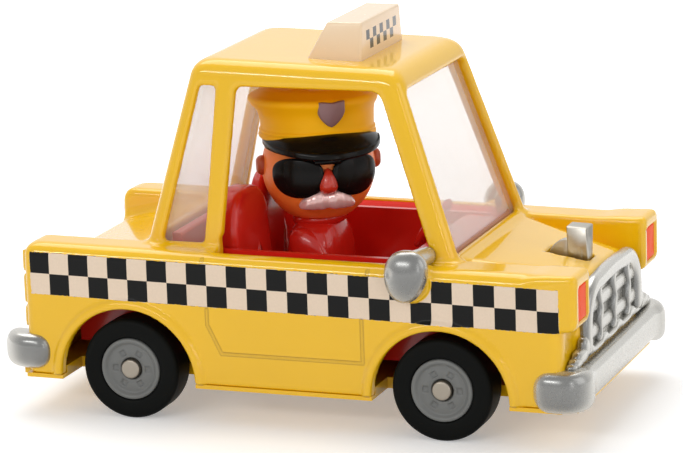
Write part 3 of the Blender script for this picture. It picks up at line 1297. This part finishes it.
class MakeDriverHead(PieceStep):
    """Makes the driver's plain round head with its ears and nose"""
    bl_idname = "toy_taxi.make_driver_head"
    bl_label = "Driver's head"

    def make(self, scene):
        lift = np.linspace(-math.pi / 2, math.pi / 2, 56)[:, None]
        turn = np.linspace(-math.pi, math.pi, 96, endpoint=False)
        brow = -0.12 * np.exp(-((lift - 0.1) / 0.3) ** 2 - (turn / 0.9) ** 2)
        cheeks = 0.1 * np.exp(-((lift + 0.55) / 0.25) ** 2 - ((np.abs(turn) - 0.6) / 0.3) ** 2)
        face = ball_place(HEAD_RADIUS + brow + cheeks, turn, lift)
        face[..., 2] = np.maximum(face[..., 2], JAW)
        place_piece("driver_face", [(face.reshape(-1, 3), grid_quads(56, 96))], "skin_plastic", "head",
                    "driver_head")
        nose, quads = pillow_points((1.3, 1.45, 1.9), 0.95, 24, 36)
        nose[:, 0] *= 1 - 0.22 * nose[:, 2]
        nose[:, 1] *= 1 - 0.16 * nose[:, 2]
        nose = head_place(nose[:, 0], nose[:, 1] + 8.25, nose[:, 2] + 32.2)
        place_piece("driver_nose", [(nose, quads)], "nose_plastic", "head")
        ears = []
        for side in (-1.0, 1.0):
            ear, quads = pillow_points((1.0, 1.2, 1.45), 0.95, 24, 36)
            hollow = 0.35 * np.exp(-(ear[:, 1] ** 2 + ear[:, 2] ** 2) / 0.25) * (ear[:, 0] > 0)
            across = side * (ear[:, 0] + 8.35 - hollow)
            ears.append((head_place(across, ear[:, 1], ear[:, 2] + 33.4), quads))
        place_piece("driver_ears", ears, "ear_plastic", "head")


def cap_crown():
    """Band and flaring crown of the cap, raised in front and leaning back.

    Point = the profile turned round the neck, with its height raised by the cosine of the turn.
    """
    profile = np.concatenate([
        [[0.0, 37.35], [7.9, 37.35]], rounded(6, 0.42, (8.2, 37.85), -90, 70),
        rounded(5, 0.3, (8.22, 38.55), -50, 80), [[8.3, 39.1], [8.32, 40.0], [8.45, 41.0], [8.75, 41.9]],
        [[9.15, 42.4]], rounded(8, 0.75, (8.72, 43.15), -40, 75), [[8.4, 44.0], [7.7, 44.5], [6.6, 44.8]],
        [[4.5, 44.95], [2.0, 45.0], [0.0, 45.0]]])
    turn = np.linspace(-math.pi, math.pi, 96, endpoint=False)
    radius, height = profile[:, :1], profile[:, 1:]
    front = np.clip(np.cos(turn), 0, 1) ** 2
    raise_up = np.clip((height - 37.0) / 2.0, 0, 1) * np.exp(-((height - 39.0) / 3.2) ** 2)
    lean = np.clip((height - 40.5) / 3.0, 0, 1) * (radius > 5)
    up = height + 0.5 * front * raise_up + 0.3 * np.cos(turn) * lean
    crown = head_place(radius * np.sin(turn) - 0.6 * lean, radius * np.cos(turn), up)
    return crown.reshape(-1, 3), grid_quads(len(profile), len(turn))


def cap_visor():
    """Visor: a curved sheet from the band to a rim with a round bead, and back underneath.

    Point = root + (rim - root) share, bulged by a sine of the share, for each angle of the sweep.
    """
    bulge, thick = 0.55, 0.75
    sweep = np.radians(np.linspace(-88, 88, 61))
    side, front = np.sin(sweep), np.cos(sweep)
    root = np.stack([8.35 * side, 8.35 * front, 37.6 + 1.5 * front ** 1.5], axis=-1)
    rim = np.stack([8.45 * side, 2.0 + 9.75 * front, 37.35 - 0.8 * front], axis=-1)

    def sheet(share, drop):
        row = root + (rim - root) * share
        row[:, 2] += bulge * math.sin(math.pi * share) * front - drop
        return row

    outward = rim - root
    outward /= np.maximum(np.linalg.norm(outward, axis=1, keepdims=True), 1e-6)
    bead = 0.55 * (0.3 + 0.7 * np.sqrt(front))[:, None]
    rows = [sheet(share, 0.0) for share in np.linspace(0, 1, 9)]
    rows += [rim + bead * (outward * math.cos(angle) + np.array([0, 0, math.sin(angle)]))
             for angle in np.radians(np.linspace(75, -175, 14))]
    rows += [sheet(share, thick) for share in np.linspace(0.92, 0, 7)]
    rows = np.stack(rows, axis=1)
    visor = head_place(rows[..., 0], rows[..., 1], rows[..., 2], CAP_TURN)
    return visor.reshape(-1, 3), grid_quads(len(sweep), rows.shape[1])


def cap_shield():
    """Plain shield-shaped badge, bent round the front of the cap."""
    curve, across = np.linspace(0, 1, 12), np.linspace(-1.9, 1.9, 9)
    right = np.stack([1.98 * np.cos(curve * math.pi / 2) ** 0.7, 42.6 - 2.5 * curve ** 1.1], axis=-1)
    top = np.stack([across, 43.9 - 0.08 * np.cos(across * 4 / 1.9)], axis=-1)
    outline = np.concatenate([right[::-1], top[::-1], right[:-1] * (-1, 1)])
    flat, quads = plate_points(outline, 0.9, 0.2, crown=0.12, rings=4)
    reach = np.sqrt(np.maximum(9.25 ** 2 - flat[:, 0] ** 2, 0.0)) + 0.18 * (flat[:, 1] - 42.0)
    return head_place(flat[:, 0], reach + flat[:, 2] - 0.35, flat[:, 1], CAP_TURN), quads


class MakeDriverCap(PieceStep):
    """Makes the peaked cap: a band, a flaring crown that rises in front, the black visor and the badge"""
    bl_idname = "toy_taxi.make_driver_cap"
    bl_label = "Driver's cap"

    def make(self, scene):
        place_piece("driver_cap_crown", [cap_crown()], "cap_plastic", "head", "driver_cap")
        place_piece("driver_cap_visor", [cap_visor()], "black_plastic", "head")
        place_piece("driver_cap_shield", [cap_shield()], "badge_plastic", "head", "cap_badge")


def glasses_lens(side):
    """Dark lens that lies on the head's ball: a squarish oval, fuller below, with a rounded rim."""
    around = np.linspace(0, 2 * math.pi, 48, endpoint=False)
    out, up = np.cos(around), np.sin(around)
    wide = np.radians(27) * (1 + 0.06 * out) * np.sign(out) * np.abs(out) ** 0.85
    tall = np.radians(24) * np.where(up < 0, 1.0, 0.62) * np.sign(up) * np.abs(up) ** 0.85
    back = [(share, 0.12) for share in np.linspace(0, 0.98, 6)]
    edge = [(1.0, 0.3), (1.0, 0.5), (0.985, 0.65)]
    face = [(share, 0.72) for share in np.linspace(0.95, 0, 7)]
    rows = [ball_place(HEAD_RADIUS + depth, side * (np.radians(29.5) + wide * share),
                       np.radians(3.5) + tall * share) for share, depth in back + edge + face]
    return np.concatenate(rows), grid_quads(len(rows), len(around))


def moustache_lobe(side):
    """One lobe of the moustache, a drooping wavy pillow set on the head's ball."""
    lobe, quads = pillow_points((2.25, 1.2, 1.35), 0.9, 30, 44)
    lobe[:, 1] += 0.07 * np.sin(lobe[:, 0] * 5.5) * (lobe[:, 1] > 0)
    lobe[:, 2] *= 1 - 0.12 * lobe[:, 0]
    lobe[:, 2] -= 0.16 * lobe[:, 0] + 0.1 * lobe[:, 0] ** 2 - 0.2
    across = side * (lobe[:, 0] + 1.85)
    ahead = np.sqrt(np.maximum(HEAD_RADIUS ** 2 - across ** 2 - 12.0, 0.5)) + lobe[:, 1] + 0.35
    return head_place(across, ahead, lobe[:, 2] + 29.1), quads


class MakeDriverDetails(PieceStep):
    """Makes the driver's dark glasses and the two-lobed moustache"""
    bl_idname = "toy_taxi.make_driver_details"
    bl_label = "Driver's glasses and moustache"

    def make(self, scene):
        turn = np.linspace(-0.22, 0.22, 15)
        bridge = carried_points(head_place(8.72 * np.sin(turn), 8.72 * np.cos(turn), 35.1 + 0 * turn),
                                oval_section(0.3, 0.4, 0.9, 14))
        place_piece("driver_dark_glasses", [glasses_lens(-1.0), glasses_lens(1.0), bridge],
                    "black_plastic", "head", "driver_glasses")
        place_piece("driver_moustache_lobes", [moustache_lobe(-1.0), moustache_lobe(1.0)],
                    "moustache_plastic", "head", "driver_moustache")


class TaxiStageSettings(bpy.types.PropertyGroup):
    """Light and floor."""
    key: bpy.props.FloatProperty(name="Key light", description="Strength of the key softbox", default=0.04,
                                 min=0.0, unit="POWER")
    strip: bpy.props.FloatProperty(name="Strip light", default=0.75, min=0.0, unit="POWER",
                                   description="Strength of the strip light; the corner's follows it")
    fill: bpy.props.FloatProperty(name="Fill light", default=0.58, min=0.0, unit="POWER",
                                  description="Strength of the fill softbox; the top's follows it")
    sky: bpy.props.FloatProperty(name="Sky", description="Strength of the even light from all round",
                                 default=0.44, min=0.0, max=2.0)
    floor_glow: bpy.props.FloatProperty(name="Floor white", min=0.0, max=1.0, default=0.3,
                                        description="White that the floor adds where the camera sees it")


FLOOR_HALF, FLOOR_LINES = 2500.0, 41

# softboxes: name, place in metres, width and height, the setting for the power, and the share of it
LAMP_AIM = (0.0, 0.0, 0.03)
SOFTBOXES = (
    ("key_softbox", (-0.05, -0.52, 0.26), (0.5, 0.3), "key", 1.0),
    ("strip_softbox", (-0.16, -0.5, 0.27), (0.38, 0.042), "strip", 1.0),
    ("corner_softbox", (0.42, -0.4, 0.13), (0.02, 0.3), "strip", 0.25),
    ("fill_softbox", (0.5, -0.1, 0.25), (0.3, 0.4), "fill", 1.0),
    ("top_softbox", (-0.12, 0.18, 0.5), (0.5, 0.4), "fill", 3.5),
)

# the camera fitted to the photo: sizes in its pixels, the view's axes, and its place in metres
PHOTO_WIDTH, PHOTO_HEIGHT, FOCAL_LENGTH, VIEW_CENTRE = 683, 453, 3412.9, (345.17, 228.91)
VIEW_RIGHT = np.array([0.938157, 0.344728, -0.032108])
VIEW_DOWN = np.array([0.050663, -0.228273, -0.972315])
VIEW_AHEAD = np.array([-0.343190, 0.910046, -0.232461])
CAMERA_PLACE = (0.17116, -0.45021, 0.13932)
SENSOR_WIDTH = 36.0


def facing(right, up, back, place):
    """Matrix of an object from its own three axes and its place."""
    matrix = Matrix.Identity(4)
    for column, part in enumerate((right, up, back, place)):
        for row in range(3):
            matrix[row][column] = part[row]
    return matrix


def add_object(name, data, matrix=None):
    """Object linked to the scene."""
    made = bpy.data.objects.new(name, data)
    if matrix is not None:
        made.matrix_world = matrix
    bpy.context.scene.collection.objects.link(made)
    return made


def soft_box(name, centre, size, power):
    """Rectangular area lamp at a place in metres, facing the car."""
    lamp = bpy.data.lights.new(name, "AREA")
    lamp.shape, lamp.energy = "RECTANGLE", power
    lamp.size, lamp.size_y = size
    back = np.array(centre) - LAMP_AIM
    back /= np.linalg.norm(back)
    right = np.cross([0, 0, 1.0], back)
    right /= np.linalg.norm(right)
    add_object(name, lamp, facing(right, np.cross(back, right), back, centre))


def seen_share(shade):
    """1 for rays from the camera and for what gloss and clear panes show, else 0."""
    path = shade.add("ShaderNodeLightPath").outputs
    return shade.math("MAXIMUM", path["Is Camera Ray"],
                      shade.math("MAXIMUM", path["Is Glossy Ray"], path["Is Transmission Ray"]))


class MakeStage(PieceStep):
    """Sets the floor, the soft light and the camera"""
    bl_idname = "toy_taxi.make_stage"
    bl_label = "Stage"

    def make(self, scene):
        settings = scene.toy_taxi_stage
        self.make_floor(settings)
        self.make_air(scene, settings)
        for name, place, size, setting, share in SOFTBOXES:
            soft_box(name, place, size, getattr(settings, setting) * share)
        self.make_camera(scene)
        scene.view_settings.view_transform = "Standard"

    def make_floor(self, settings):
        """Pale floor, which glows a little where it is seen, so that it fades into the white round it."""
        reach = np.linspace(-FLOOR_HALF, FLOOR_HALF, FLOOR_LINES)
        x, y = np.meshgrid(reach, reach, indexing="ij")
        mesh = fill_mesh("studio_floor", np.stack([x, y, 0 * x], axis=-1).reshape(-1, 3),
                         grid_quads(FLOOR_LINES, FLOOR_LINES, closed_columns=False))
        shade, shader = new_material("studio_floor", Roughness=0.6, Specular_IOR_Level=0.25,
                                     Emission_Color=WHITE)
        vector = shade.place()[0]
        cloud = shade.noise(vector, scale=0.002)
        tint = shade.mix(cloud, (0.84, 0.84, 0.84, 1.0), (0.87, 0.866, 0.862, 1.0))
        shade.feed(shader.inputs["Base Color"], tint)
        away = shade.add("ShaderNodeVectorMath", {0: vector}, operation="LENGTH").outputs["Value"]
        amount = shade.math("MULTIPLY_ADD", shade.step(away, 70.0, 320.0), 0.4, settings.floor_glow)
        shade.feed(shader.inputs["Emission Strength"], shade.math("MULTIPLY", seen_share(shade), amount))
        mesh.materials.append(bpy.data.materials["studio_floor" + FINISH])
        add_object("studio_floor", mesh)

    def make_air(self, scene, settings):
        """Even white light from all round, at full white where it is seen."""
        world = bpy.data.worlds.new("studio_air")
        world.use_nodes = True
        scene.world = world
        shade = Shading(world.node_tree)
        back = world.node_tree.nodes["Background"]
        back.inputs["Color"].default_value = WHITE
        strength = shade.add("ShaderNodeMix", {0: seen_share(shade), 2: settings.sky, 3: 1.0}).outputs[0]
        shade.feed(back.inputs["Strength"], strength)

    def make_camera(self, scene):
        """Camera at the photo's place, with the photo's focal length and centre."""
        data = bpy.data.cameras.new("photo_camera")
        data.sensor_width = SENSOR_WIDTH
        data.lens = FOCAL_LENGTH * SENSOR_WIDTH / PHOTO_WIDTH
        data.shift_x = (PHOTO_WIDTH / 2 - VIEW_CENTRE[0]) / PHOTO_WIDTH
        data.shift_y = (VIEW_CENTRE[1] - PHOTO_HEIGHT / 2) / PHOTO_WIDTH
        data.clip_start, data.clip_end = 0.01, 20.0
        scene.camera = add_object("photo_camera", data,
                                  facing(VIEW_RIGHT, -VIEW_DOWN, -VIEW_AHEAD, CAMERA_PLACE))


class TaxiPanel(bpy.types.Panel):
    """Lists the steps that make the taxi"""
    bl_idname = "VIEW3D_PT_toy_taxi"
    bl_label = "Toy Taxi"
    bl_space_type = "VIEW_3D"
    bl_region_type = "UI"
    bl_category = "Toy Taxi"

    def draw(self, context):
        layout = self.layout
        for settings in (context.scene.toy_taxi_colours, context.scene.toy_taxi_body,
                         context.scene.toy_taxi_stage):
            column = layout.column(heading=settings.__doc__)
            for name in settings.__annotations__:
                column.prop(settings, name)
        for step in STEPS:
            layout.operator(step.bl_idname)


SETTINGS = {"toy_taxi_colours": TaxiColours, "toy_taxi_body": TaxiBodySizes,
            "toy_taxi_stage": TaxiStageSettings}
STEPS = (MakeFinishes, MakeBody, MakeWheels, MakeBumpers, MakeGrille, MakeLamps, MakeMirrors, MakeOrnament,
         MakeRoofSign, MakeTubRim, MakeGlazing, MakeSteering, MakeSeats, MakeDriverBody, MakeDriverHead,
         MakeDriverCap, MakeDriverDetails, MakeStage)


def register():
    for kind in (*SETTINGS.values(), *STEPS, TaxiPanel):
        bpy.utils.register_class(kind)
    for name, kind in SETTINGS.items():
        setattr(bpy.types.Scene, name, bpy.props.PointerProperty(type=kind))


def unregister():
    for name in SETTINGS:
        delattr(bpy.types.Scene, name)
    for kind in (TaxiPanel, *reversed(STEPS), *reversed(SETTINGS.values())):
        bpy.utils.unregister_class(kind)


def main():
    """Runs every step in order and writes the two boxes."""
    register()
    for step in STEPS:
        area, name = step.bl_idname.split(".")
        getattr(getattr(bpy.ops, area), name)()


if __name__ == "__main__":
    main()
